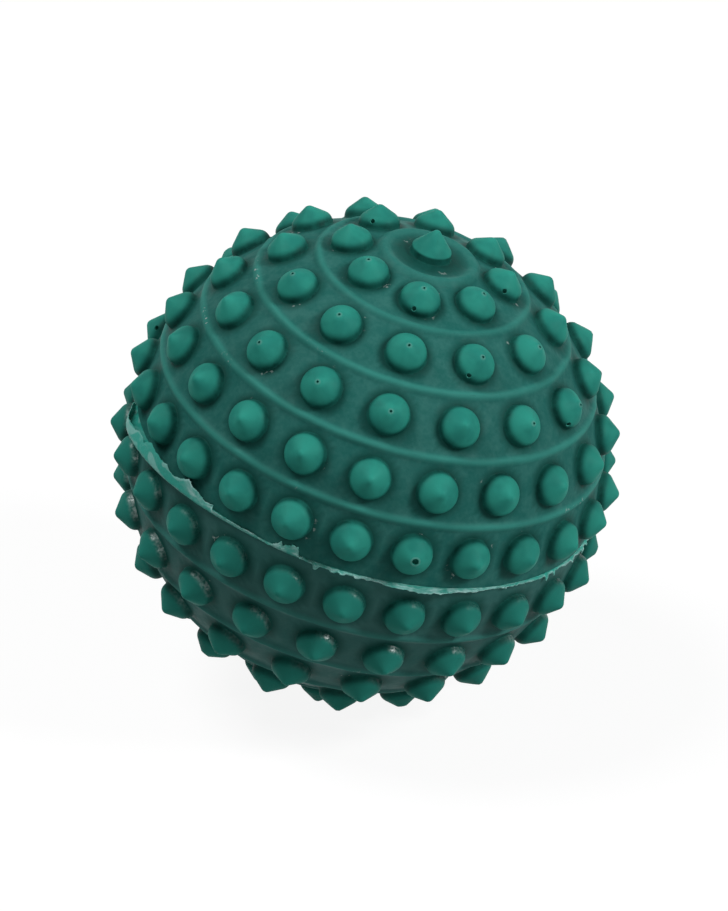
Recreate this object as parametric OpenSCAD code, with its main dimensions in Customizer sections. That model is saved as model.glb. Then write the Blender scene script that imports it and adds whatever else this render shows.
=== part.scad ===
// Spiked massage ball of moulded rubber, lying on three of its spikes as it does on a table.
// Two half-shells are cured together at the parting plane, where a thin fin of rubber has squeezed out.

/* [Ball] */
// Diameter of the ball between its spikes
body_d = 69; // [60:0.2:80]
// Thickness of the rubber wall
wall = 4; // [3:0.1:6]

/* [Spikes] */
// Diameter of a spike where it stands on the ball
spike_d = 6.5; // [4.5:0.1:6.8]
// Height of a spike above the ball
spike_h = 3; // [2.6:0.1:5]
// Draft of a spike's side
draft = 14; // [4:1:20]
// Full angle of a spike's cone
cone_angle = 118; // [105:1:135]
// Rounding between a spike's side and its cone
shoulder_r = 1; // [0.4:0.05:1.3]
// Rounding of a spike's point
point_r = 0.9; // [0.5:0.05:1.2]
// How much taller the spike on each pole is
pole_extra = 1; // [0.4:0.1:2]
// Full angle of the spike on each pole, which is a plain cone
pole_angle = 66; // [50:1:90]

/* [Rings of spikes] */
// Rings on each half, without the spike on the pole
rings = 5; // [3:1:5]
// Latitude of the ring next to the parting plane
first_lat = 8.2; // [7.8:0.1:10]
// Latitude from one ring to the next
lat_step = 15.7; // [14.5:0.1:16.2]
// Spikes in the ring next to the pole
polar_spikes = 8; // [6:1:9]
// Spikes that each ring has more than the one above it
more_spikes = 4; // [2:1:4]
// Turn of the upper half's rings, from the side that the ball leans to
upper_clock = 4.5; // [0:0.1:45]

/* [Ribs] */
// Width of the low rib midway between two rings
rib_w = 1.6; // [0.8:0.1:2.2]
// Height of a rib
rib_h = 0.4; // [0.15:0.05:0.6]

/* [Seam] */
// Thickness of the rubber layer between the half-shells
flash_t = 0.45; // [0.3:0.05:0.8]
// How far the fin stands out all round
flash_out = 0.65; // [0.4:0.05:1]
// How far the fin stands out in its widest stretch
flash_wide = 1.8; // [1.3:0.1:2.4]
// Direction of the middle of the widest stretch
wide_az = 215; // [0:1:359]
// Angle from that middle to where the fin is narrow again
wide_span = 28; // [15:1:40]
// Direction of the torn tab
tab_az = 262; // [0:1:359]
// Radius of the torn tab
tab_r = 0.95; // [0.7:0.05:1.3]
// Nicks torn out of the fin's edge
nicks = 26; // [0:1:30]
// Radius of the largest nick
nick_r = 0.55; // [0.3:0.05:0.6]

/* [Sealing plug] */
// Diameter of the self-sealing plug inside
plug_d = 12; // [8:0.5:16]
// Thickness of the plug at its middle
plug_t = 3; // [2:0.1:5]
// Film of rubber cement under the plug
cement_t = 0.05; // [0.02:0.01:0.2]

/* [Hidden] */
$fn = 64;

body_r = body_d / 2;
inner_r = body_r - wall;
half_lift = flash_t / 2;
spike_root = wall / 2;

// Height above the ball where the straight sides of a round-pointed cone would meet
function cone_top(h, half) = h + point_r * (1 / sin(half) - 1);
function towards(a) = [cos(a), sin(a)];

// Middle of the shoulder's arc, which touches both the drafted side and the cone
half_angle = cone_angle / 2;
in_side = spike_d / 2 * cos(draft) - shoulder_r;
in_cone = cone_top(spike_h, half_angle) * sin(half_angle) - shoulder_r;
shoulder = [
    in_side * sin(half_angle) - in_cone * sin(draft),
    in_cone * cos(draft) - in_side * cos(half_angle)
] / sin(half_angle - draft);

// A rib is a circle sunk in the wall, so that an arc of rib_w and rib_h stands out
rib_r = (pow(rib_w / 2, 2) + rib_h * rib_h) / (2 * rib_h);
rib_centre = body_r + rib_h - rib_r;

// Ring 0 lies next to the parting plane, the last ring next to the pole
function ring_lat(i) = first_lat + i * lat_step;
function ring_spikes(i) = polar_spikes + (rings - 1 - i) * more_spikes;

// At rest the ball leans until two spikes of the polar ring touch the table beside the pole's spike.
// Their round points are alike, so the table is parallel to the plane through the points' middles
lower_clock = 180 / polar_spikes;
foot_lat = ring_lat(rings - 1);
foot_reach = body_r + spike_h - point_r;
pole_z = half_lift + foot_reach + pole_extra;
foot_z = half_lift + foot_reach * sin(foot_lat);
foot_x = foot_reach * cos(foot_lat) * cos(lower_clock);
lean = atan2(pole_z - foot_z, foot_x);
rest_h = pole_z * cos(lean) + point_r;

// The fin's wide stretch is a smaller circle, shifted so that it runs out at wide_span to each side
fin_r = body_r + flash_out;
wide_r = body_r + flash_wide;
wide_shift = (wide_r * wide_r - fin_r * fin_r) / (2 * (wide_r - fin_r * cos(wide_span)));
bow_r = wide_r - wide_shift;
function bow(a) = wide_shift * cos(a) + sqrt(bow_r * bow_r - pow(wide_shift * sin(a), 2));
function fin_edge(az) = cos(az - wide_az) > cos(wide_span) ? bow(az - wide_az) : fin_r;

// Nicks lie on the fin's edge, unevenly spaced
nick_seed = 7;
nick_least = 0.3;
nick_jitter = rands(-0.3, 0.3, nicks + 1, nick_seed);
nick_size = rands(nick_least, 1, nicks + 1, nick_seed + 1);
function nick_az(i) = (i + nick_jitter[i]) * 360 / nicks;

// Sets a piece down on the table, from the frame where the parting plane is z = 0
module at_rest() {
    translate([0, 0, rest_h]) rotate([0, lean, 0]) children();
}

// Right half of a round-pointed cone with the given corners below it, z = 0 on the ball
module pointed_outline(h, half, corners) {
    middle = [0, h - point_r];
    intersection() {
        union() {
            polygon(concat([[0, -spike_root]], corners, [middle + point_r * towards(half), middle]));
            translate(middle) circle(point_r);
            children();
        }
        translate([0, -spike_root]) square(body_r);
    }
}

// Spike of the rings: a drafted side, a round shoulder and a blunt cone
module spike() {
    rotate_extrude()
        pointed_outline(spike_h, half_angle, [
            [spike_d / 2 + spike_root * tan(draft), -spike_root],
            shoulder + shoulder_r * towards(draft),
            shoulder + shoulder_r * towards(half_angle)
        ])
            translate(shoulder) circle(shoulder_r);
}

// Spike of the pole: a taller, steeper cone
module pole_spike() {
    h = spike_h + pole_extra;
    half = pole_angle / 2;
    rotate_extrude()
        pointed_outline(h, half, [[(cone_top(h, half) + spike_root) * tan(half), -spike_root]]);
}

// Section of a half-shell with its ribs, above the parting plane
module shell_outline() {
    intersection() {
        difference() {
            union() {
                circle(body_r);
                for (i = [0 : rings - 1])
                    rotate(ring_lat(i + 0.5)) translate([rib_centre, 0]) circle(rib_r);
            }
            circle(inner_r);
        }
        square(body_d);
    }
}

// One moulding: shell, ribs and spikes, with its parting face on the fin's face
module half_shell(clock) {
    translate([0, 0, half_lift]) rotate(clock) {
        rotate_extrude() shell_outline();
        translate([0, 0, body_r]) pole_spike();
        for (i = [0 : rings - 1], k = [0 : ring_spikes(i) - 1])
            rotate([0, 90 - ring_lat(i), k * 360 / ring_spikes(i)])
                translate([0, 0, body_r]) spike();
    }
}

module upper_half_shell() {
    color("#2d7466") at_rest() half_shell(upper_clock);
}

module lower_half_shell() {
    color("#286a5d") at_rest() mirror([0, 0, 1]) half_shell(lower_clock);
}

// Layer of rubber between the half-shells, with the torn fin outside them
module seam_flash() {
    color("#58a593") at_rest()
        linear_extrude(flash_t, center = true) difference() {
            union() {
                circle(fin_r);
                rotate(wide_az) translate([wide_shift, 0]) circle(bow_r);
                rotate(tab_az) translate([fin_r, 0]) circle(tab_r);
            }
            circle(inner_r);
            for (i = [1 : 1 : nicks])
                rotate(nick_az(i)) translate([fin_edge(nick_az(i)), 0]) circle(nick_r * nick_size[i]);
        }
}

// Gum plug on the inner wall under the lower pole, where the ball is pumped up with a needle
module sealing_plug() {
    color("#b98d55") at_rest() rotate_extrude() intersection() {
        translate([0, -half_lift]) circle(inner_r - cement_t);
        translate([0, -half_lift - inner_r]) square([plug_d / 2, plug_t]);
    }
}

upper_half_shell();
lower_half_shell();
seam_flash();
sealing_plug();
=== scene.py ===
"""Spiked massage ball of moulded rubber: two half-shells, the torn fin at their seam and the plug inside."""

import math
import random

import bmesh
import bpy
from bpy.props import FloatProperty, FloatVectorProperty, IntProperty, PointerProperty
from mathutils import Matrix, Vector, noise


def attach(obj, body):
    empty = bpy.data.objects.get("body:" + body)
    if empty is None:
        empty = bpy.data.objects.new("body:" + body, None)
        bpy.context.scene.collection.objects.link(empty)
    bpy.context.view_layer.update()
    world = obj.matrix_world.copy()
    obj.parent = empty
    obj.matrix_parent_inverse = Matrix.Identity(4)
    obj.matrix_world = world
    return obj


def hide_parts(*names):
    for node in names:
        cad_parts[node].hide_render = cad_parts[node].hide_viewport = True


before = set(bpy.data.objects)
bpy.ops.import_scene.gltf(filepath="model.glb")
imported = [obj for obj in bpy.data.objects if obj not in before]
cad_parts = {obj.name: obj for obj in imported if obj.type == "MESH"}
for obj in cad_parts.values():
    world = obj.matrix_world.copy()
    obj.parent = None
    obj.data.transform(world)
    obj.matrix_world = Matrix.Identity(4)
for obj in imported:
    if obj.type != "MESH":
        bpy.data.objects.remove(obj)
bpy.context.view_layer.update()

bl_info = {
    "name": "Massage ball",
    "version": (1, 0, 0),
    "blender": (4, 5, 0),
    "location": "3D View > Sidebar > Massage Ball",
    "description": "Builds a spiked massage ball of moulded rubber on its packed solids",
    "category": "Add Mesh",
}

MM = 0.001
TURN = 2 * math.pi
IMAGE = (728, 911)
# Vertices nearer to each other than this are one
MERGE = 1e-7
# Edges bent by more than this are shaded as sharp
SHARP = math.radians(50)

# Spikes are named by ring, 0 next to the seam, and by place in the ring, from the side that the ball
# leans to. The upper half's spikes from the first to the last of these places face the photograph.
SEEN = {0: (12, 22), 1: (10, 19), 2: (8, 15), 3: (6, 13), 4: (0, 7)}
PINHOLES = {(4, 5), (4, 6), (4, 7), (3, 7), (3, 8), (3, 9), (3, 10), (3, 11)}
PINHOLES |= {(2, 10), (2, 11), (2, 12), (2, 14), (2, 15)}
BLOWN_POINT = (0, 19)
# Blow-holes on a spike's shoulder, by their angle from downhill
BLOWHOLES = {(4, 3): 116, (4, 6): 348, (4, 0): 272, (3, 10): 320, (2, 15): 316}
# Spikes that the photograph doesn't show have their holes by chance, with pinholes from this ring on
UPPER_SEED = 11
LOWER_SEED = 12
BLOWN_CHANCE = 0.02
PINHOLE_CHANCE = 0.5
PINHOLE_RING = 2
BLOWHOLE_CHANCE = 0.12

# Rounds of the search for the middle of a foot's rounding
FOOT_ROUNDS = 20
# Steps of the roundings along a spike's outline, and those on either side of the shoulder's middle
FOOT_STEPS = 4
SHOULDER_STEPS = 4
SHOULDER = (FOOT_STEPS + 2, FOOT_STEPS + 4)
# Points along a cone as shares of its radius at the shoulder, then along the rounded tip
CONE_SHARES = (0.7, 0.42)
TIP_SHARES = (0.66, 0.48, 0.32, 0.16, 0)
# Roundings of the spike on a pole as shares of the other spikes'
POLE_POINT = 0.75
POLE_SHOULDER = 0.4
# A hole in a spike's point: its lip, then radius and depth of each step, as shares of the hole's radius
LIP = 1.4
HOLE_SHARES = ((1, 0.2), (0.8, 1.1), (0.5, 1.4), (0, 1.5))
# A blow-hole: radius of each step as a share of its own, depth in millimetres, and how far faces are opened
BLOWHOLE_STEPS = ((1.15, -0.02), (1, 0.05), (0.9, 0.25), (0.75, 0.5), (0, 0.6))
BLOWHOLE_CUT = 1.1
# The hole mask along these two outlines
SUNK_POINT = (0.3, 0.4, 1, 1, 1)
SUNK_SHOULDER = (0, 0.3, 1, 1, 1)

# Steps of the wall's section along its inside and over a rib
INNER_STEPS = 20
RIB_STEPS = 8
# How much broader the rib round the pole is, and the power of that by which it is higher
POLE_RIB = 1.4
POLE_RIB_RISE = 1.6
# Faces that come nearer than this share of a foot's radius make way for the spike
SPIKE_CUT = 0.97
# Vertices beside an opening keep this many times its radius away
KEEP_OFF = 1.05
# Vertices no deeper than this under the ball's radius are on its outside
OUTSIDE = 0.1 * MM
# Unevenness of the wall and of the ribs: height and fineness
WALL_GRAIN = (0.02 * MM, 260)
RIB_GRAIN = (0.1 * MM, 420)

# How far the ribs are rubbed, and how glossy the lower half's spikes are, from the seam to the pole
RUBBED = (1, 1, 0.85, 0.6, 0.4)
GLOSS = (0.6, 1, 0.2, 0, 0)
# Side of a spike that its glossy spot is on, to the seam and to the right, and how the spot fades in
GLINT_SIDE = (0.77, 0.64)
GLINT_EASE = (0.6, 0.95)
# The dark mask of painted shade where a spike's cone starts, and the steps on which it fades from there
SHADE = 0.22
SHADE_STEPS = 4
# Where the dark ring of painted shade round a foot starts to fade, in millimetres from the foot, and its end
# in halos
FADE = (-0.2, 1)
POLE_FADE = (0.8, 2.6)

# Stretches of the fin, in degrees round the seam: where each starts, is full, ebbs and ends
SHELF = (191, 206, 206, 254)
RIBBON = (190, 197, 239.4, 240.2)
RIBBON_STEP = (229.5, 231, 231.5, 234)
RIBBON_FOLD = (186, 200, 239.4, 240.2)
RIBBON_DULL = (186, 190, 229, 233)
STRIP = (238, 240, 240, 256)
STRIP_FOLD = (239, 240, 252, 257)
TAB = (256.8, 258, 263.3, 263.8)
TAB_FOLD = (256, 257.5, 263.4, 264.2)
TAB_PALE = (255, 257, 283, 286)
BROAD = (283, 286, 310, 316)
BROAD_EDGE = (283, 287, 296, 316)
WITHOUT_CHANCE_DRIPS = (178, 182, 282, 285)
# Where the ribbon grows and shrinks, and where the tab grows
RIBBON_GROWS = (198, 214)
RIBBON_SHRINKS = (231, 240)
TAB_GROWS = (258, 262.5)
# Middle of the tab's peak, and how the peak falls off to its sides
PEAK = 258.9
PEAK_EASE = (0.1, 0.6)
# Drips beside the tab, by direction and length against the longest, and how a drip falls off to its sides
DRIPS = ((268.4, 1), (272.5, 0.35), (274.8, 0.5), (278.4, 0.4), (281, 0.2))
DRIP_EASE = (0.15, 1.1)
# Where drips come by chance, the noise at which one starts and at which it is full
CHANCE_DRIP = (0.2, 0.5)
# Where the ribbon is narrow: direction and reach, and the share of its height that is missing there
PINCHES = ((207, 5, 0.2), (213.5, 3.5, 0.45), (227, 4, 0.4))
# Bends of the fin's edge, in radians
SLACK_BEND = -0.1
RIBBON_BEND = 1.75
TAB_BEND = 1.8
STRIP_BEND = 1.1
DRIP_BEND = -1.1
# Noises round the seam: fineness and seed
RAGGED = (9, 0.3)
FINE = (45, 2.7)
TEAR = (160, 5.1)
WAVE = (7, 4.4)
SPARSE = (26, 8.9)
# How much less pale the fin's edge is on the ribbon, and how much paler on the tab and the broad stretch
RIBBON_DULLER = 0.6
TAB_PALER = 1.6
BROAD_PALER = 2
# Steps from the fin's foot to its edge, and how deep in the ball the foot is
FIN_STEPS = 16
FIN_ROOT = 0.15 * MM
# Fineness of the streaks along the fin and across it
STREAKS = (16, 4.5)

# Round lamps: diameter and place from the ball's middle, in metres
LAMPS = {
    "right": (0.33, (0.854, -0.155, 0.608)),
    "left": (0.5, (-0.491, -0.084, 0.936)),
    "front": (0.4, (0.176, -1.028, 0.184)),
}
# The floor's half width in metres, and how far its colour and a white glow make up what the eye sees
FLOOR_REACH = 4
FLOOR_SHARE = 0.45
FLOOR_GLOW = 0.9
VIEW_END = 20


def size(default, name, description):
    """A length, given in millimetres."""
    return FloatProperty(
        name=name,
        description=description,
        default=default * MM,
        min=0,
        unit="LENGTH",
        subtype="DISTANCE",
        precision=5,
    )


def angle(default, name, description):
    """An angle, given in degrees."""
    return FloatProperty(
        name=name, description=description, default=math.radians(default), unit="ROTATION", subtype="ANGLE"
    )


def count(default, name, description):
    """A whole number."""
    return IntProperty(name=name, description=description, default=default, min=1)


def power(default, name, description):
    """A lamp's power in watts."""
    return FloatProperty(name=name, description=description, default=default, min=0, unit="POWER")


def linear(level):
    """A screen level from 0 to 255 as the light it stands for."""
    level /= 255
    return level / 12.92 if level <= 0.04045 else ((level + 0.055) / 1.055) ** 2.4


def paint(screen, name, description):
    """A colour, given as screen levels from 0 to 255."""
    light = [linear(level) for level in screen]
    return FloatVectorProperty(
        name=name, description=description, default=light, size=3, min=0, max=1, subtype="COLOR"
    )


class ShellSizes(bpy.types.PropertyGroup):
    """The round wall of both halves, its ribs and where its spikes stand"""

    body_r: size(34.5, "Ball radius", "Radius of the ball between its spikes")
    wall: size(4, "Wall", "Thickness of the rubber wall")
    rib_w: size(2.1, "Rib width", "Width of the low rib between two rings, with its soft feet")
    rib_h: size(0.42, "Rib height", "Height of a rib")
    rings: count(5, "Rings", "Rings of spikes on each half")
    first_lat: angle(8.2, "First latitude", "Latitude of the ring next to the seam")
    lat_step: angle(15.7, "Latitude step", "Latitude from one ring to the next")
    polar_spikes: count(8, "Polar spikes", "Spikes in the ring next to the pole")
    more_spikes: count(4, "More spikes", "Spikes that each ring has more than the next")
    upper_clock: angle(4.5, "Upper turn", "Turn of the upper half's rings")
    columns: count(240, "Columns", "Steps round the wall, a multiple of each ring's spikes")
    row: size(0.8, "Row", "Height of a row of the wall's faces")


class SpikeSizes(bpy.types.PropertyGroup):
    """A spike with the shape of a drill's point"""

    d: size(6.1, "Spike diameter", "Diameter of a spike where it stands on the ball")
    h: size(3, "Spike height", "Height of a spike above the ball")
    draft: angle(6, "Draft", "Draft of a spike's side")
    cone: angle(110, "Cone angle", "Full angle of a spike's cone")
    shoulder_r: size(1.6, "Shoulder rounding", "Rounding between a spike's side and its cone")
    point_r: size(0.95, "Point rounding", "Rounding of a spike's point")
    pole_extra: size(1, "Pole height", "How much taller the spike on each pole is")
    pole_cone: angle(82, "Pole angle", "Full angle of the steeper spike on each pole")
    fillet_r: size(0.25, "Foot rounding", "Rounding between a spike's side and the ball")
    # The halo is a ring of painted shade on the ball round a spike's foot
    halo: size(1.3, "Halo", "Width of the dark ring on the ball round a spike's foot")
    pinhole_r: size(0.2, "Pinhole radius", "Radius of the pinhole in a spike's point")
    blown_r: size(0.5, "Blown point radius", "Radius of the hole in a blown point")
    blowhole_r: size(0.36, "Blow-hole radius", "Radius of a blow-hole on a spike's shoulder")


class FinSizes(bpy.types.PropertyGroup):
    """The layer of rubber between the halves and the torn fin outside them"""

    t: size(0.45, "Fin thickness", "Thickness of the rubber layer at the wall")
    edge_t: size(0.16, "Edge thickness", "Thickness of the fin's torn edge")
    out: size(0.55, "Fin width", "How far the fin stands out all round")
    wide: size(2.5, "Ribbon height", "Height of the folded ribbon")
    shelf: size(2.3, "Shelf", "How far the ribbon runs out before it is folded up")
    fold_r: size(0.35, "Fold", "Radius that the fin is folded up with")
    tab: size(0.5, "Tab", "Height of the torn tab where it starts")
    tab_more: size(0.65, "Tab's growth", "How much higher the tab is where it ends")
    peak: size(0.55, "Tab's peak", "Height of the thin peak on the tab")
    step: size(0.35, "Ribbon's step", "Height of the step where the ribbon shrinks")
    strip: size(0.45, "Strip", "Height of the strip between the ribbon and the tab")
    broad: size(0.85, "Broad stretch", "How much wider the broad stretch is")
    drip: size(0.6, "Drip", "Length of the longest drip")
    least: size(0.12, "Least width", "Width of the fin where it is torn off")
    columns: count(1440, "Fin columns", "Steps round the fin")


class RubberColours(bpy.types.PropertyGroup):
    """Colours of the rubber's faces"""

    spike: paint((49, 152, 136), "Spikes", "Clean rubber of the spikes")
    spike_dull: paint((41, 136, 123), "Dull spikes", "Duller patches on the spikes")
    # Painted shade: the lower half's spikes are darker than the upper half's
    spike_low: paint((38, 128, 115), "Lower spikes", "Lower half's spikes darkened as painted shade")
    # Painted shade: the colour of the spikes' sides and of the ball round their feet
    dark: paint((13, 66, 59), "Painted foot shade", "Painted shade on the spikes' sides and on the ball round their feet")
    body: paint((32, 99, 92), "Ball", "Rubber between the spikes")
    bloom: paint((53, 114, 107), "Bloom", "Grey bloom on the ball")
    dusty: paint((60, 103, 99), "Dusty ball", "Rubber between the spikes of the lower half")
    rib: paint((57, 140, 129), "Ribs", "Rubbed tops of the ribs")
    # Scuffs on the ribs are wear; the same pale colour is also painted highlight, in flecks round the feet
    # and on the holes' lips
    scuff_and_glint: paint((178, 194, 190), "Scuffs", "Scuffs along the ribs and painted highlights round the feet and holes")
    hole: paint((28, 104, 92), "Holes", "Inside of a hole")
    fin: paint((48, 160, 144), "Fin", "Thin rubber of the fin")
    fin_edge: paint((168, 214, 209), "Torn edge", "Stretched rubber at the fin's torn edge")
    gum: paint((170, 120, 66), "Plug", "Gum rubber of the sealing plug")


class Studio(bpy.types.PropertyGroup):
    """Camera, floor and light"""

    azimuth: angle(9.7, "Camera azimuth", "Side that the camera looks from")
    elevation: angle(27.8, "Camera elevation", "Height of the camera over the horizon")
    roll: angle(0.7, "Camera roll", "Turn of the camera about its own axis")
    distance: size(1050, "Camera distance", "From the camera to the ball's middle")
    scale: FloatProperty(
        name="Scale", description="Pixels of the photograph for each metre at the ball", default=6843
    )
    middle: FloatVectorProperty(
        name="Middle", description="Pixel of the ball's middle", default=(365.3, 454.5), size=2
    )
    right: power(6.6, "Right light", "Power of the soft light on the right")
    left: power(6.4, "Left light", "Power of the soft light high on the left")
    front: power(1.4, "Front light", "Power of the low light in front")
    ambient: FloatProperty(name="Ambient", description="Strength of the light from all round", default=0.02)
    floor: paint((158, 158, 158), "Floor", "The floor as the ball sees it")


class MassageBall(bpy.types.PropertyGroup):
    """All that a user may change"""

    shell: PointerProperty(type=ShellSizes)
    spike: PointerProperty(type=SpikeSizes)
    fin: PointerProperty(type=FinSizes)
    colours: PointerProperty(type=RubberColours)
    studio: PointerProperty(type=Studio)


# Shapes


def ring_latitude(shell, i):
    """Latitude of ring i; a half more is the rib above it."""
    return shell.first_lat + i * shell.lat_step


def ring_spikes(shell, i):
    """Spikes in ring i."""
    return shell.polar_spikes + (shell.rings - 1 - i) * shell.more_spikes


def set_down(ball):
    """Matrix from the moulds' frame to the table, on which a pole's spike and two beside it stand."""
    reach = ball.shell.body_r + ball.spike.h - ball.spike.point_r
    foot = ring_latitude(ball.shell, ball.shell.rings - 1)
    rise = reach + ball.spike.pole_extra - reach * math.sin(foot)
    lean = math.atan2(rise, reach * math.cos(foot) * math.cos(math.pi / ball.shell.polar_spikes))
    height = (ball.fin.t / 2 + reach + ball.spike.pole_extra) * math.cos(lean) + ball.spike.point_r
    return Matrix.Translation((0, 0, height)) @ Matrix.Rotation(lean, 4, "Y")


def arc(centre, radius, start, end, steps):
    """Points on an arc of an outline."""
    turns = [start + (end - start) * j / steps for j in range(steps + 1)]
    return [(centre[0] + radius * math.cos(a), centre[1] + radius * math.sin(a)) for a in turns]


def smooth(value, low, high):
    """Eases from 0 at low to 1 at high."""
    t = min(max((value - low) / (high - low), 0), 1)
    return t * t * (3 - 2 * t)


def foot_outline(ball, side_r, draft):
    """Rounding from the ball to a side that leans in by its draft and would meet the ball at side_r."""
    body_r, fillet = ball.shell.body_r, ball.spike.fillet_r
    z = 0
    for _ in range(FOOT_ROUNDS):
        x = side_r + fillet / math.cos(draft) - z * math.tan(draft)
        z = math.sqrt((body_r + fillet) ** 2 - x * x) - body_r
    return arc((x, z), fillet, math.pi + math.atan2(body_r + z, x), math.pi + draft, FOOT_STEPS)


def shoulder_outline(spike, top, half, rounding):
    """Rounding between a spike's drafted side and its cone."""
    in_side = spike.d / 2 * math.cos(spike.draft) - rounding
    in_cone = top * math.sin(half) - rounding
    x = in_side * math.sin(half) - in_cone * math.sin(spike.draft)
    z = in_cone * math.cos(spike.draft) - in_side * math.cos(half)
    scale = 1 / math.sin(half - spike.draft)
    return arc((x * scale, z * scale), rounding, spike.draft, half, SHOULDER_STEPS)


def spike_outline(ball, hole_r=0, pole=False):
    """Radius and height of a spike from its foot to its point, or to the bottom of a hole there."""
    spike = ball.spike
    height = spike.h + pole * spike.pole_extra
    half = (spike.pole_cone if pole else spike.cone) / 2
    point_r = spike.point_r * (POLE_POINT if pole else 1)
    top = height + point_r * (1 / math.sin(half) - 1)

    def skin(r):
        if r > point_r * math.cos(half):
            return r, top - r / math.tan(half)
        return r, height - point_r + math.sqrt(point_r ** 2 - r * r)

    foot = foot_outline(ball, spike.d / 2, spike.draft)
    flank = shoulder_outline(spike, top, half, spike.shoulder_r * (POLE_SHOULDER if pole else 1))
    cone = [skin(flank[-1][0] * share) for share in CONE_SHARES]
    if hole_r:
        _, z = skin(hole_r)
        steps = [(hole_r * share, z - hole_r * depth) for share, depth in HOLE_SHARES]
        point = [skin(hole_r * LIP), *steps]
    else:
        point = [skin(point_r * share) for share in TIP_SHARES]
    return foot + flank + cone + point


def shell_section(shell):
    """Radius and height of a half's section, from the inner pole round to the outer pole."""
    inner_r = shell.body_r - shell.wall
    section = arc((0, 0), inner_r, math.pi / 2, 0, INNER_STEPS)
    low = 0
    for i in range(shell.rings + 1):
        broad = POLE_RIB if i == shell.rings - 1 else 1
        half_rib = shell.rib_w / 2 / shell.body_r * broad
        rib = ring_latitude(shell, i + 0.5) if i < shell.rings else math.pi / 2
        high = rib - half_rib if i < shell.rings else rib
        steps = math.ceil((high - low) * shell.body_r / shell.row)
        section += arc((0, 0), shell.body_r, low, high, steps)[(i > 0) :]
        if i < shell.rings:
            for j in range(1, RIB_STEPS + 1):
                t = j / RIB_STEPS
                r = shell.body_r + shell.rib_h * broad ** POLE_RIB_RISE * (0.5 - 0.5 * math.cos(TURN * t))
                section += arc((0, 0), r, high + 2 * half_rib * t, 0, 1)[:1]
        low = rib + half_rib
    return section


def seat_place(latitude, azimuth, radius):
    """Matrix from a spike's own frame, x downhill and z outwards, to the moulds' frame."""
    turn = Matrix.Rotation(azimuth, 4, "Z") @ Matrix.Rotation(math.pi / 2 - latitude, 4, "Y")
    return turn @ Matrix.Translation((0, 0, radius))


def draw_out(bm, seats, masks):
    """Opens the skin at each seat, makes the opening round and draws its rim through the seat's outline.

    A seat has its place, its outline, the faces it opens and its masks' values along the outline.
    """
    which = bm.verts.layers.int.get("seat") or bm.verts.layers.int.new("seat")
    rims = []
    for seat in seats:
        inside = set(seat["faces"])
        rims.append([e for f in inside for e in f.edges if sum(g in inside for g in e.link_faces) == 1])
    bmesh.ops.delete(bm, geom=[f for seat in seats for f in seat["faces"]], context="FACES")
    for number, (seat, rim) in enumerate(zip(seats, rims)):
        seat["back"] = seat["place"].inverted()
        r, z = seat["outline"][0]
        around = {v for e in rim for v in e.verts}
        beside = {w for v in around for f in v.link_faces for w in f.verts} - around
        for v in around | beside:
            p = seat["back"] @ v.co
            own_r = math.hypot(p.x, p.y)
            if v in around:
                v.co = seat["place"] @ Vector((p.x * r / own_r, p.y * r / own_r, z))
                v[which] = number
            elif own_r < r * KEEP_OFF:
                grow = r * KEEP_OFF / own_r
                v.co = seat["place"] @ Vector((p.x * grow, p.y * grow, p.z))
    edges = [e for rim in rims for e in rim]
    for step in range(1, len(seats[0]["outline"])):
        made = bmesh.ops.extrude_edge_only(bm, edges=edges)["geom"]
        edges = [e for e in made if isinstance(e, bmesh.types.BMEdge) and e.is_boundary]
        for v in (v for v in made if isinstance(v, bmesh.types.BMVert)):
            seat = seats[v[which]]
            r, z = seat["outline"][step]
            p = seat["back"] @ v.co
            grow = r / math.hypot(p.x, p.y)
            v.co = seat["place"] @ Vector((p.x * grow, p.y * grow, z))
            for layer, values in zip(masks, seat["masks"]):
                v[layer] = values[step]
    bmesh.ops.remove_doubles(bm, verts=list({v for e in edges for v in e.verts}), dist=MERGE)


def outward(seat, point):
    """Distance of a point from a seat's axis."""
    axis = seat["place"].col[2].xyz
    return (point - axis * axis.dot(point)).length


def nearest_seat(shell, point):
    """Name of the spike that stands nearest to a point on the wall."""
    out = point.normalized()
    i = round((math.asin(out.z) - shell.first_lat) / shell.lat_step)
    if i >= shell.rings:
        return "pole"
    spikes = ring_spikes(shell, i)
    return i, round(math.atan2(out.y, out.x) / TURN * spikes) % spikes


def spike_masks(steps, hole):
    """Values of the spike, hole, rib and dark masks along a spike's outline."""
    plain = [0.0] * steps
    spike = [min(j / FOOT_STEPS, 1) for j in range(steps)]
    sunk = [0.0] * (steps - len(SUNK_POINT)) + [*SUNK_POINT] if hole else plain
    # The dark mask is painted shade: full on the foot and the side, down to SHADE over the shoulder, then
    # fading away on the cone
    low, high = FOOT_STEPS + 1, FOOT_STEPS + 4
    side = [1 - (1 - SHADE) * smooth(j, low, high) for j in range(steps)]
    dark = [value - SHADE * smooth(j, high, high + SHADE_STEPS) for j, value in enumerate(side)]
    return spike, sunk, plain, dark


def is_seen(shell, ring, k):
    """True where the photograph shows a spike of the upper half."""
    low, high = SEEN[ring]
    return (k - low) % ring_spikes(shell, ring) <= high - low


def hole_in_point(ball, upper, ring, k, chance):
    """Radius of the hole in a spike's point, as seen on the front and by chance elsewhere."""
    if upper and is_seen(ball.shell, ring, k):
        if (ring, k) == BLOWN_POINT:
            return ball.spike.blown_r
        return ball.spike.pinhole_r if (ring, k) in PINHOLES else 0
    if chance.random() < BLOWN_CHANCE:
        return ball.spike.blown_r
    return ball.spike.pinhole_r if ring >= PINHOLE_RING and chance.random() < PINHOLE_CHANCE else 0


def rib_rubbed(shell, point):
    """How far a point of the wall's section is rubbed: not at all between the ribs."""
    i = round((math.atan2(point.z, point.x) - shell.first_lat) / shell.lat_step - 0.5)
    share = RUBBED[min(max(i, 0), shell.rings - 1)]
    return smooth(point.length - shell.body_r, 0, shell.rib_h) * share


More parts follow.
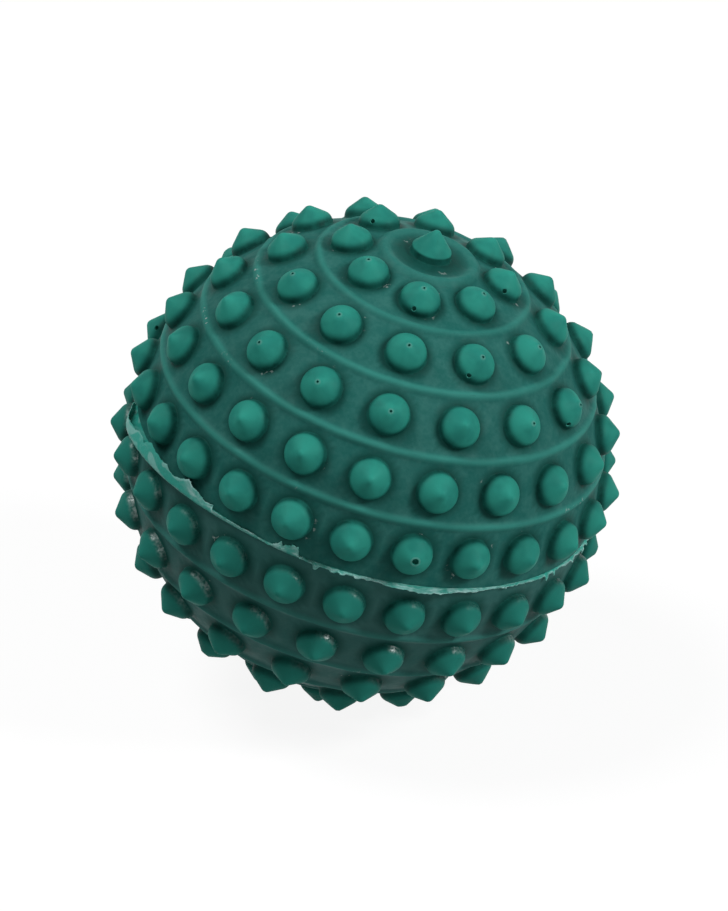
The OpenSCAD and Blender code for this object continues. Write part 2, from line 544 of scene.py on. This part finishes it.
def spike_seats(ball, upper, chance):
    """Seats of all the spikes of a half, by name, with no faces yet."""
    shell, seats = ball.shell, {}

    def sit(name, latitude, azimuth, outline, hole_r=0):
        place = seat_place(latitude, azimuth, shell.body_r)
        masks = spike_masks(len(outline), hole_r)
        seats[name] = {"place": place, "outline": outline, "masks": masks, "faces": []}

    for i in range(shell.rings):
        for k in range(ring_spikes(shell, i)):
            hole_r = hole_in_point(ball, upper, i, k, chance)
            azimuth = TURN * k / ring_spikes(shell, i)
            sit((i, k), ring_latitude(shell, i), azimuth, spike_outline(ball, hole_r), hole_r)
    sit("pole", math.pi / 2, 0, spike_outline(ball, pole=True))
    return seats


def half_shell(ball, upper):
    """One moulding in the moulds' frame: wall, ribs and all its spikes, as a bmesh."""
    shell = ball.shell
    chance = random.Random(UPPER_SEED if upper else LOWER_SEED)
    bm = bmesh.new()
    masks = [bm.verts.layers.float.new(name) for name in ("spike", "hole", "rib", "dark")]
    spike, _, rib, dark = masks
    row = [bm.verts.new((r, 0, z)) for r, z in shell_section(shell)]
    wire = [bm.edges.new(pair) for pair in zip(row, row[1:])]
    for v in row:
        v[rib] = rib_rubbed(shell, v.co)
    bmesh.ops.spin(
        bm, geom=row + wire, cent=(0, 0, 0), axis=(0, 0, 1), angle=TURN, steps=shell.columns, use_merge=True
    )
    bmesh.ops.remove_doubles(bm, verts=bm.verts, dist=MERGE)

    seats = spike_seats(ball, upper, chance)
    for f in bm.faces:
        middle = f.calc_center_median()
        if middle.length < shell.body_r - shell.wall / 2:
            continue
        seat = seats.get(nearest_seat(shell, middle))
        if seat and any(outward(seat, v.co) < seat["outline"][0][0] * SPIKE_CUT for v in f.verts):
            seat["faces"].append(f)
    draw_out(bm, list(seats.values()), masks)
    # Painted shade on the ball round each spike's foot, in a wider dish round the pole's spike
    for v in bm.verts:
        key = nearest_seat(shell, v.co)
        if key in seats and v[spike] == 0 and v.co.length > shell.body_r - OUTSIDE:
            clear = outward(seats[key], v.co) - seats[key]["outline"][0][0]
            start, halos = POLE_FADE if key == "pole" else FADE
            v[dark] = 1 - smooth(clear, start * MM, ball.spike.halo * halos)
    polish(bm, seats, upper)
    blow_holes(bm, ball, seats, upper, chance, masks)
    roughen(bm, shell)
    # 1 on the lower half, whose ball is greyer with dust and whose spikes carry painted shade
    dusty = bm.verts.layers.float.new("dusty")
    for v in bm.verts:
        v[dusty] = 0 if upper else 1
    return bm


def polish(bm, seats, upper):
    """Marks the glossy spots on the shoulders of the lower half's first rings."""
    dark, spike = bm.verts.layers.float["dark"], bm.verts.layers.float["spike"]
    gloss, which = bm.verts.layers.float.new("gloss"), bm.verts.layers.int["seat"]
    backs = [seat["back"] for seat in seats.values()]
    shares = [0 if upper or key == "pole" else GLOSS[key[0]] for key in seats]
    for v in bm.verts:
        if v[dark] > SHADE and v[spike] == 1:
            p = backs[v[which]] @ v.co
            turned = (p.x * GLINT_SIDE[0] + p.y * GLINT_SIDE[1]) / math.hypot(p.x, p.y)
            on_shoulder = (v[dark] - SHADE) / (1 - SHADE)
            v[gloss] = on_shoulder * shares[v[which]] * smooth(turned, *GLINT_EASE)


def shoulder_place(seat, bearing):
    """Matrix from a blow-hole's own frame, z outwards, to the moulds' frame."""
    (r0, z0), (r1, z1) = (seat["outline"][step] for step in SHOULDER)
    slope = math.atan2(r0 - r1, z1 - z0)
    turn = Matrix.Rotation(math.radians(bearing), 4, "Z")
    out = Matrix.Translation(((r0 + r1) / 2, 0, (z0 + z1) / 2))
    return seat["place"] @ turn @ out @ Matrix.Rotation(math.pi / 2 - slope, 4, "Y")


def blow_holes(bm, ball, seats, upper, chance, masks):
    """Sinks the blow-holes into the shoulders of their spikes."""
    r = ball.spike.blowhole_r
    outline = [(r * share, -depth * MM) for share, depth in BLOWHOLE_STEPS]
    plain = [0.0] * len(outline)
    values = ([1.0] * len(outline), SUNK_SHOULDER, plain, plain)
    which = bm.verts.layers.int["seat"]
    skins = [[] for _ in seats]
    for f in bm.faces:
        v = f.verts[0]
        if v[masks[0]] > 0:
            skins[v[which]].append(f)
    holes = []
    for (key, seat), skin in zip(seats.items(), skins):
        bearing = BLOWHOLES.get(key) if upper else None
        hidden = key != "pole" and not (upper and is_seen(ball.shell, *key))
        if bearing is None and hidden and chance.random() < BLOWHOLE_CHANCE:
            bearing = chance.uniform(0, 360)
        if bearing is None:
            continue
        place = shoulder_place(seat, bearing)
        near = [f for f in skin if (f.calc_center_median() - place.translation).length < r * BLOWHOLE_CUT]
        holes.append({"place": place, "outline": outline, "masks": values, "faces": near})
    draw_out(bm, holes, masks)


def roughen(bm, shell):
    """Makes the wall and its ribs slightly uneven, as cast rubber is."""
    rib, spike = bm.verts.layers.float["rib"], bm.verts.layers.float["spike"]
    (wall_h, wall_scale), (rib_h, rib_scale) = WALL_GRAIN, RIB_GRAIN
    for v in bm.verts:
        if v[spike] == 0 and v.co.length > shell.body_r - OUTSIDE:
            uneven = wall_h * noise.noise(v.co * wall_scale) + v[rib] * rib_h * noise.noise(v.co * rib_scale)
            v.co += v.co.normalized() * uneven


def stretch(degrees, start, full, ebb, end):
    """1 on a stretch of the fin, easing to 0 at its ends."""
    return smooth(degrees, start, full) * (1 - smooth(degrees, ebb, end))


def round_seam(degrees, fineness, seed):
    """Noise by direction, which closes on itself."""
    a = math.radians(degrees)
    return noise.noise((math.cos(a) * fineness, math.sin(a) * fineness, seed))


def fin_shelf(fin, degrees):
    """How far the fin runs straight out before it is bent, by direction."""
    return fin.shelf * stretch(degrees, *SHELF)


def fin_drip(degrees):
    """1 where a drip hangs from the narrow fin, 0 elsewhere."""
    sparse = smooth(round_seam(degrees, *SPARSE), *CHANCE_DRIP)
    sparse *= (1 - stretch(degrees, *WITHOUT_CHANCE_DRIPS)) * (1 - 0.9 * stretch(degrees, *BROAD))
    return sparse + sum(length * (1 - smooth(abs(degrees - at), *DRIP_EASE)) for at, length in DRIPS)


def ribbon_share(degrees):
    """Height of the ribbon by direction, as a share of its full height."""
    share = stretch(degrees, *RIBBON) * (0.45 + 0.6 * smooth(degrees, *RIBBON_GROWS))
    share *= 1 - 0.75 * smooth(degrees, *RIBBON_SHRINKS)
    pinch = sum(depth * (1 - smooth(abs(degrees - at), 0, reach)) for at, reach, depth in PINCHES)
    return share * (1 - pinch)


def fin_width(fin, degrees):
    """Width of the fin outside the ball by direction: ribbon, tab, broad stretch and a ragged rest."""
    ragged, fine, tear = (round_seam(degrees, *grain) for grain in (RAGGED, FINE, TEAR))
    calm = 1 - 0.75 * stretch(degrees, *BROAD)
    width = fin.out * (0.85 + 0.3 * ragged + (0.35 * fine + 0.25 * tear) * calm) + fin_shelf(fin, degrees)
    width += ribbon_share(degrees) * (fin.wide - fin.out) * (1 + 0.25 * ragged + 0.12 * fine)
    width += fin.step * stretch(degrees, *RIBBON_STEP) + fin.strip * stretch(degrees, *STRIP)
    tab = fin.tab + fin.tab_more * smooth(degrees, *TAB_GROWS) + 0.1 * MM * tear
    width += tab * stretch(degrees, *TAB) + fin.peak * (1 - smooth(abs(degrees - PEAK), *PEAK_EASE))
    width += fin.broad * stretch(degrees, *BROAD_EDGE) * (1 + 0.25 * ragged + 0.3 * fine)
    return max(width + fin.drip * fin_drip(degrees), fin.least)


def fin_curl(degrees):
    """Angle that the fin's edge is bent up by: past upright on ribbon and tab, slack on the ragged rest."""
    wave = round_seam(degrees, *WAVE)
    curl = SLACK_BEND + 0.25 * wave + DRIP_BEND * fin_drip(degrees)
    curl += stretch(degrees, *RIBBON_FOLD) * (RIBBON_BEND + 0.1 * wave)
    return curl + stretch(degrees, *TAB_FOLD) * TAB_BEND + stretch(degrees, *STRIP_FOLD) * STRIP_BEND


def fin_paleness(degrees):
    """How pale the fin is towards its edge: least on most of the ribbon, most on the broad stretch."""
    ribbon, tab, broad = (stretch(degrees, *where) for where in (RIBBON_DULL, TAB_PALE, BROAD))
    return 1 - RIBBON_DULLER * ribbon + TAB_PALER * tab + BROAD_PALER * broad


def seam_fin(ball):
    """Layer between the halves and the fin outside them, in the moulds' frame, as a bmesh."""
    fin, body_r = ball.fin, ball.shell.body_r
    bm = bmesh.new()
    along = bm.verts.layers.float.new("along")
    side = bm.verts.layers.float.new("side")
    streak = bm.verts.layers.float.new("streak")
    inner_r = body_r - ball.shell.wall
    steps = [j / FIN_STEPS for j in range(FIN_STEPS)]
    stations = [(inner_r, -1, -1)] + [(body_r, u, -1) for u in steps] + [(body_r, 1, 0)]
    stations += [(body_r, u, 1) for u in reversed(steps)] + [(inner_r, -1, 1)]
    row = []
    for r, u, s in stations:
        v = bm.verts.new((r + max(u, 0) * fin.out, 0, s * fin.t / 2))
        v[along], v[side] = u, s
        row.append(v)
    wire = [bm.edges.new((v, row[(j + 1) % len(row)])) for j, v in enumerate(row)]
    bmesh.ops.spin(
        bm, geom=row + wire, cent=(0, 0, 0), axis=(0, 0, 1), angle=TURN, steps=fin.columns, use_merge=True
    )
    bmesh.ops.remove_doubles(bm, verts=bm.verts, dist=MERGE)
    for v in bm.verts:
        u = v[along]
        if u < 0:
            continue
        turn = math.atan2(v.co.y, v.co.x)
        degrees = math.degrees(turn) % 360
        curl, along_fin = fin_curl(degrees), fin_width(fin, degrees) * u
        flat = min(along_fin, fin_shelf(fin, degrees))
        bent = min(along_fin - flat, abs(curl) * fin.fold_r)
        straight = along_fin - flat - bent
        lift = math.copysign(bent / fin.fold_r, curl)
        thick = v[side] * (fin.t * (1 - u) + fin.edge_t * u) / 2
        r = flat + fin.fold_r * math.sin(abs(lift)) + straight * math.cos(lift) - thick * math.sin(lift)
        z = math.copysign(fin.fold_r * (1 - math.cos(lift)), lift) + straight * math.sin(lift)
        r += body_r - FIN_ROOT
        v.co = (r * math.cos(turn), r * math.sin(turn), z + thick * math.cos(lift))
        v[along] = u * fin_paleness(degrees)
        v[streak] = 0.5 + round_seam(degrees, STREAKS[0], u * STREAKS[1])
    return bm


def as_piece(bm, name, place, material, nodes):
    """Sets a finished bmesh down as an object that stands for its solids and rides with the ball."""
    bmesh.ops.transform(bm, matrix=place, verts=bm.verts)
    bmesh.ops.recalc_face_normals(bm, faces=bm.faces)
    for f in bm.faces:
        f.smooth = True
    for e in bm.edges:
        e.smooth = e.calc_face_angle(0) < SHARP
    mesh = bpy.data.meshes.new(name)
    bm.to_mesh(mesh)
    bm.free()
    mesh.materials.append(material)
    piece = bpy.data.objects.new(name, mesh)
    bpy.context.scene.collection.objects.link(piece)
    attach(piece, "root")
    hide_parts(*nodes)


# Finishes


class Wire:
    """A node's output, or a tree with none yet; sums and products of wires add Math nodes."""

    def __init__(self, tree, socket=None):
        self.tree = tree
        self.socket = socket

    def node(self, kind, settings=None, inputs=None, out=0):
        """Adds a node with its settings and inputs, and gives one of its outputs."""
        made = self.tree.nodes.new(kind)
        for name, value in (settings or {}).items():
            setattr(made, name, value)
        for key, value in (inputs or {}).items():
            if isinstance(value, Wire):
                self.tree.links.new(value.socket, made.inputs[key])
            else:
                made.inputs[key].default_value = value
        return Wire(self.tree, made.outputs[out] if made.outputs else None)

    def maths(self, operation, a, b):
        return self.node("ShaderNodeMath", {"operation": operation}, {0: a, 1: b})

    def __add__(self, other):
        return self.maths("ADD", self, other)

    def __radd__(self, other):
        return self.maths("ADD", other, self)

    def __rsub__(self, other):
        return self.maths("SUBTRACT", other, self)

    def __mul__(self, other):
        return self.maths("MULTIPLY", self, other)

    def __rmul__(self, other):
        return self.maths("MULTIPLY", other, self)

    def ease(self, low, high):
        """0 below low, 1 above high, smooth between."""
        ends = {"Value": self, "From Min": low, "From Max": high}
        return self.node("ShaderNodeMapRange", {"interpolation_type": "SMOOTHSTEP"}, ends)

    def mix(self, a, b):
        """Colour a where this is 0, b where it is 1."""
        a, b = ((*c, 1) if not isinstance(c, Wire) else c for c in (a, b))
        return self.node("ShaderNodeMix", {"data_type": "RGBA"}, {0: self, 6: a, 7: b}, out=2)

    def grain(self, scale, detail=2.0, roughness=0.5):
        """Noise on this wire's coordinates."""
        inputs = {"Vector": self, "Scale": scale, "Detail": detail, "Roughness": roughness}
        return self.node("ShaderNodeTexNoise", {}, inputs)

    def mask(self, name):
        """A mask that the mesh carries."""
        return self.node("ShaderNodeAttribute", {"attribute_name": name}, out="Fac")


def new_finish(name):
    """An empty material and a wire on its tree."""
    material = bpy.data.materials.new(name)
    material.use_nodes = True
    material.node_tree.nodes.clear()
    return material, Wire(material.node_tree)


def moulded_rubber(colours):
    """Cast rubber: clean spikes, a ball with grey bloom, rubbed ribs and dark holes; painted shade round the
    spikes' feet, on their sides and on the lower half's spikes, and painted highlights in pale flecks round
    the feet and on the holes' lips.
    """
    material, start = new_finish("moulded_rubber")
    where = start.node("ShaderNodeTexCoord", out="Object")
    names = ("spike", "hole", "rib", "dark", "gloss", "dusty")
    spike, hole, rib, dark, gloss, dusty = (start.mask(name) for name in names)
    cloud = where.grain(110, 3).ease(0.35, 0.68)
    patch = where.grain(420, 3, 0.6).ease(0.38, 0.66)
    fleck = where.grain(1500, 2, 0.6)
    body = (patch * 0.5 + cloud * 0.3 + fleck.ease(0.4, 0.65) * 0.3).mix(colours.body, colours.bloom)
    body = (dusty * (0.5 + 0.3 * cloud)).mix(body, colours.dusty)
    tips = (where.grain(300, 2).ease(0.4, 0.7)).mix(colours.spike, colours.spike_dull)
    # Painted shade: the lower half's spikes are darker
    tips = (dusty * 0.8).mix(tips, colours.spike_low)
    colour = spike.mix(body, tips)
    # Painted shade on the spikes' sides and on the ball round their feet
    colour = (dark * (0.8 + 0.2 * patch)).mix(colour, colours.dark)
    rubbed = rib * (0.7 + 0.3 * cloud) * (1 - 0.5 * dusty)
    colour = rubbed.mix(colour, colours.rib)
    scuffs = rib.ease(0.5, 0.9) * fleck.ease(0.6, 0.72) * where.grain(90, 1).ease(0.6, 0.7)
    colour = scuffs.mix(colour, colours.scuff_and_glint)
    # Painted highlight: pale flecks in the ring round each foot stand for the glints of the feet's roundings
    foot = dark.ease(0.45, 0.8) * (1 - dark.ease(0.97, 1)) * (1 - spike.ease(0.3, 0.8))
    foot_glints = foot * where.grain(1200, 2).ease(0.6, 0.68) * where.grain(210, 1).ease(0.63, 0.68)
    colour = (foot_glints * 0.55).mix(colour, colours.scuff_and_glint)
    # Painted highlight: a faint pale ring on the lip of each hole
    rim = hole.ease(0.18, 0.3) * (1 - hole.ease(0.4, 0.7))
    colour = (rim * 0.12).mix(colour, colours.scuff_and_glint)
    colour = hole.ease(0.4, 0.8).mix(colour, colours.hole)
    speckle = where.grain(2400, 1)
    height = fleck * 0.35 + patch * (1 - spike) * 0.8 + where.grain(5200, 1) * 0.1 + gloss * speckle * 2.2
    normal = start.node("ShaderNodeBump", {}, {"Strength": 0.4, "Distance": 0.05 * MM, "Height": height})
    skin = start.node(
        "ShaderNodeBsdfPrincipled",
        {},
        {
            "Base Color": colour,
            "Roughness": 0.62 - 0.1 * patch,
            "Specular IOR Level": 0.06,
            "Coat Weight": gloss * (0.25 + 0.75 * speckle.ease(0.35, 0.6)),
            "Coat Roughness": 0.34,
            "Coat IOR": 1.8,
            "Normal": normal,
        },
    )
    start.node("ShaderNodeOutputMaterial", {}, {"Surface": skin})
    return material


def torn_rubber(colours):
    """Thin rubber of the fin, paler where it is stretched at the torn edge."""
    material, start = new_finish("torn_rubber")
    where = start.node("ShaderNodeTexCoord", out="Object")
    along = start.mask("along").ease(0.25, 1)
    streak = where.grain(900, 3, 0.6).ease(0.35, 0.7)
    crease = where.grain(380, 2).ease(0.55, 0.7)
    drawn = start.mask("streak").ease(0.55, 0.85)
    colour = (along * (0.1 + 0.6 * streak) + crease * 0.15 + drawn * 0.4).mix(colours.fin, colours.fin_edge)
    height = where.grain(1800, 2) + streak * 0.5
    normal = start.node("ShaderNodeBump", {}, {"Strength": 0.6, "Distance": 0.08 * MM, "Height": height})
    skin = start.node(
        "ShaderNodeBsdfPrincipled",
        {},
        {
            "Base Color": colour,
            "Roughness": 0.36 + 0.2 * streak,
            "Specular IOR Level": 0.15,
            "Normal": normal,
        },
    )
    start.node("ShaderNodeOutputMaterial", {}, {"Surface": skin})
    return material


def gum_rubber(colours):
    """Gum rubber of the sealing plug, cloudy and matt."""
    material, start = new_finish("gum_rubber")
    where = start.node("ShaderNodeTexCoord", out="Object")
    cloud = where.grain(700, 3).ease(0.3, 0.7)
    dark = [c * 0.7 for c in colours.gum]
    normal = start.node(
        "ShaderNodeBump", {}, {"Strength": 0.4, "Distance": 0.1 * MM, "Height": where.grain(2600, 2)}
    )
    skin = start.node(
        "ShaderNodeBsdfPrincipled",
        {},
        {"Base Color": cloud.mix(colours.gum, dark), "Roughness": 0.55 + 0.2 * cloud, "Normal": normal},
    )
    start.node("ShaderNodeOutputMaterial", {}, {"Surface": skin})
    return material


def seen_directly(start):
    """1 on rays from the camera, and on those that mirror or pass on the background."""
    path = start.node("ShaderNodeLightPath")
    outputs = path.socket.node.outputs
    rays = ("Camera", "Glossy", "Transmission")
    camera, glossy, through = (Wire(start.tree, outputs[f"Is {ray} Ray"]) for ray in rays)
    total = camera + glossy + through
    return total.maths("MINIMUM", total, 1)


def studio_floor(studio):
    """Pale floor that is white to the eye, keeps the ball's shadow and throws little light up."""
    material, start = new_finish("studio_floor")
    matt = start.node("ShaderNodeBsdfDiffuse", {}, {"Color": (*studio.floor, 1)})
    faint = start.node("ShaderNodeBsdfDiffuse", {}, {"Color": [*(c * FLOOR_SHARE for c in studio.floor), 1]})
    glow = start.node("ShaderNodeEmission", {}, {"Color": (1, 1, 1, 1), "Strength": FLOOR_GLOW})
    both = start.node("ShaderNodeAddShader", {}, {0: faint, 1: glow})
    shown = start.node("ShaderNodeMixShader", {}, {0: seen_directly(start), 1: matt, 2: both})
    start.node("ShaderNodeOutputMaterial", {}, {"Surface": shown})
    return material


# Operators


class MASSAGEBALL_OT_half_shells(bpy.types.Operator):
    """Mould the two half-shells with their ribs and spikes"""

    bl_idname = "massageball.half_shells"
    bl_label = "Half-shells"

    def execute(self, context):
        ball = context.scene.massage_ball
        finish = moulded_rubber(ball.colours)
        lift = Matrix.Translation((0, 0, ball.fin.t / 2))
        lower_clock = math.pi / ball.shell.polar_spikes
        upper = lift @ Matrix.Rotation(ball.shell.upper_clock, 4, "Z")
        lower = Matrix.Scale(-1, 4, (0, 0, 1)) @ lift @ Matrix.Rotation(lower_clock, 4, "Z")
        for name, turn in (("upper_half_shell", upper), ("lower_half_shell", lower)):
            bm = half_shell(ball, name == "upper_half_shell")
            as_piece(bm, name + "_skin", set_down(ball) @ turn, finish, [name])
        return {"FINISHED"}


class MASSAGEBALL_OT_seam_fin(bpy.types.Operator):
    """Squeeze the torn fin out of the seam"""

    bl_idname = "massageball.seam_fin"
    bl_label = "Seam fin"

    def execute(self, context):
        ball = context.scene.massage_ball
        finish = torn_rubber(ball.colours)
        as_piece(seam_fin(ball), "seam_flash_skin", set_down(ball), finish, ["seam_flash"])
        return {"FINISHED"}


class MASSAGEBALL_OT_sealing_plug(bpy.types.Operator):
    """Give the sealing plug its gum rubber"""

    bl_idname = "massageball.sealing_plug"
    bl_label = "Sealing plug"

    def execute(self, context):
        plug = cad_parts["sealing_plug"]
        plug.data.materials.clear()
        plug.data.materials.append(gum_rubber(context.scene.massage_ball.colours))
        return {"FINISHED"}


class MASSAGEBALL_OT_studio(bpy.types.Operator):
    """Set up the camera, the floor and the lights"""

    bl_idname = "massageball.studio"
    bl_label = "Studio"

    def execute(self, context):
        ball = context.scene.massage_ball
        studio, scene = ball.studio, context.scene
        scene.view_settings.view_transform = "Standard"
        middle = set_down(ball).translation
        set_camera(scene, studio, middle)
        add_floor(scene, studio)
        for name, (width, offset) in LAMPS.items():
            add_lamp(scene, name, getattr(studio, name), width, middle, offset)
        set_world(scene, studio)
        return {"FINISHED"}


def set_camera(scene, studio, middle):
    """Camera that sees the ball at the photograph's angle, size and place."""
    a, e = studio.azimuth, studio.elevation
    back = Vector((math.sin(a) * math.cos(e), -math.cos(a) * math.cos(e), math.sin(e)))
    right = Vector((math.cos(a), math.sin(a), 0))
    turn = Matrix.Rotation(studio.roll, 3, back)
    right = turn @ right
    up = back.cross(right)
    pixel = 1 / studio.scale
    aim = middle + right * (IMAGE[0] / 2 - studio.middle[0]) * pixel
    aim -= up * (IMAGE[1] / 2 - studio.middle[1]) * pixel
    lens = bpy.data.cameras.new("camera")
    lens.lens = lens.sensor_width * studio.scale * studio.distance / max(IMAGE)
    lens.clip_end = VIEW_END
    camera = bpy.data.objects.new("camera", lens)
    axes = Matrix((right, up, back)).transposed().to_4x4()
    camera.matrix_world = Matrix.Translation(aim + back * studio.distance) @ axes
    scene.collection.objects.link(camera)
    scene.camera = camera


def add_floor(scene, studio):
    """Plain floor under the ball."""
    bm = bmesh.new()
    bmesh.ops.create_grid(bm, x_segments=1, y_segments=1, size=FLOOR_REACH)
    mesh = bpy.data.meshes.new("floor")
    bm.to_mesh(mesh)
    bm.free()
    mesh.materials.append(studio_floor(studio))
    floor = bpy.data.objects.new("floor", mesh)
    scene.collection.objects.link(floor)


def add_lamp(scene, name, watts, width, middle, offset):
    """Round lamp at an offset from the ball's middle, turned towards it."""
    lamp = bpy.data.lights.new(name, "AREA")
    lamp.shape = "DISK"
    lamp.size = width
    lamp.energy = watts
    lit = bpy.data.objects.new(name, lamp)
    place = middle + Vector(offset)
    facing = (middle - place).to_track_quat("-Z", "Y").to_matrix().to_4x4()
    lit.matrix_world = Matrix.Translation(place) @ facing
    scene.collection.objects.link(lit)


def set_world(scene, studio):
    """Soft light from all round, with a white background to the eye."""
    world = bpy.data.worlds.new("studio")
    world.use_nodes = True
    world.node_tree.nodes.clear()
    start = Wire(world.node_tree)
    strength = studio.ambient + seen_directly(start) * (1 - studio.ambient)
    light = start.node("ShaderNodeBackground", {}, {"Color": (1, 1, 1, 1), "Strength": strength})
    start.node("ShaderNodeOutputWorld", {}, {"Surface": light})
    scene.world = world


class MASSAGEBALL_PT_panel(bpy.types.Panel):
    """Sizes, colours and pieces of the ball"""

    bl_label = "Massage Ball"
    bl_space_type = "VIEW_3D"
    bl_region_type = "UI"
    bl_category = "Massage Ball"

    def draw(self, context):
        ball = context.scene.massage_ball
        for group in (ball.shell, ball.spike, ball.fin, ball.colours, ball.studio):
            box = self.layout.box()
            for name in group.__annotations__:
                box.prop(group, name)
        for operator in OPERATORS:
            self.layout.operator(operator.bl_idname)


GROUPS = (ShellSizes, SpikeSizes, FinSizes, RubberColours, Studio, MassageBall)
OPERATORS = (
    MASSAGEBALL_OT_half_shells,
    MASSAGEBALL_OT_seam_fin,
    MASSAGEBALL_OT_sealing_plug,
    MASSAGEBALL_OT_studio,
)
CLASSES = (*GROUPS, *OPERATORS, MASSAGEBALL_PT_panel)


def register():
    for cls in CLASSES:
        bpy.utils.register_class(cls)
    bpy.types.Scene.massage_ball = PointerProperty(type=MassageBall)


def unregister():
    del bpy.types.Scene.massage_ball
    for cls in reversed(CLASSES):
        bpy.utils.unregister_class(cls)


def main():
    register()
    bpy.ops.massageball.half_shells()
    bpy.ops.massageball.seam_fin()
    bpy.ops.massageball.sealing_plug()
    bpy.ops.massageball.studio()


if __name__ == "__main__":
    main()
